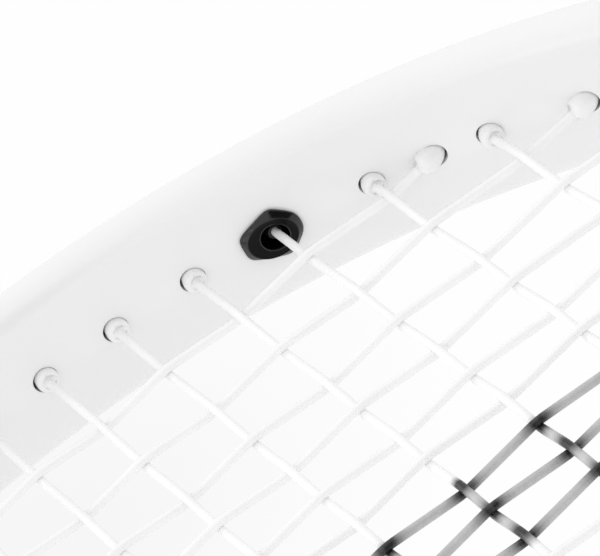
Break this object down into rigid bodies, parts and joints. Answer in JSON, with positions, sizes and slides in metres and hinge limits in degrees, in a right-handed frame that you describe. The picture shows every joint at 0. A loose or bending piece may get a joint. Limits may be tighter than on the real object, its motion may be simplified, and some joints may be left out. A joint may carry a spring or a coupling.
{
  "type": "squash racket",
  "caption": "Squash racket with an oval strung head on a moulded frame, two throat arms, a slim shaft, string locks and a wrapped eight-sided handle.",
  "frame": {"origin": "middle of the flat end of the handle, on the outer face of the closing disc", "axes": "+X from the butt end along the handle to the tip of the head, +Y to the left across the face, +Z square to the strings"},
  "size_m": [0.686, 0.1918, 0.0352],
  "materials": {
    "frame_lacquer": "gloss white lacquer over moulded fibre",
    "bumper_plastic": "satin white nylon",
    "grommet_plastic": "satin white nylon",
    "lock_gloss_black": "polished black plastic",
    "lock_inner_black": "satin black plastic",
    "main_string_white": "white nylon string with a stencilled dark mark",
    "cross_string_white": "white nylon string with a stencilled dark mark",
    "handle_foam": "moulded foam",
    "butt_cap_plastic": "satin black",
    "disc_plastic": "satin dark grey",
    "staple_steel": "zinc plated wire",
    "grip_wrap": "soft perforated black wrap",
    "tape_gloss": "gloss black tape",
    "collar_rubber": "matt black rubber"
  },
  "bodies": {
    "root": {"frame": "frame_lacquer", "head_bumper": "bumper_plastic", "grommet_strip_left": "grommet_plastic", "grommet_strip_right": "grommet_plastic", "grommet_strip_lower_left": "grommet_plastic", "grommet_strip_lower_right": "grommet_plastic", "grommet_strip_throat": "grommet_plastic", "lock_socket_1": "lock_gloss_black", "lock_socket_2": "lock_gloss_black", "lock_socket_3": "lock_gloss_black", "lock_socket_4": "lock_gloss_black", "lock_plug_1": "lock_inner_black", "lock_plug_2": "lock_inner_black", "lock_plug_3": "lock_inner_black", "lock_plug_4": "lock_inner_black", "main_string": "main_string_white", "cross_string": "cross_string_white", "handle_pallet_upper": "handle_foam", "handle_pallet_lower": "handle_foam", "butt_cap": "butt_cap_plastic", "end_disc": "disc_plastic", "staple_upper": "staple_steel", "staple_lower": "staple_steel", "grip_sleeve": "grip_wrap", "finishing_tape": "tape_gloss", "shaft_collar": "collar_rubber"}
  },
  "joints": []
}
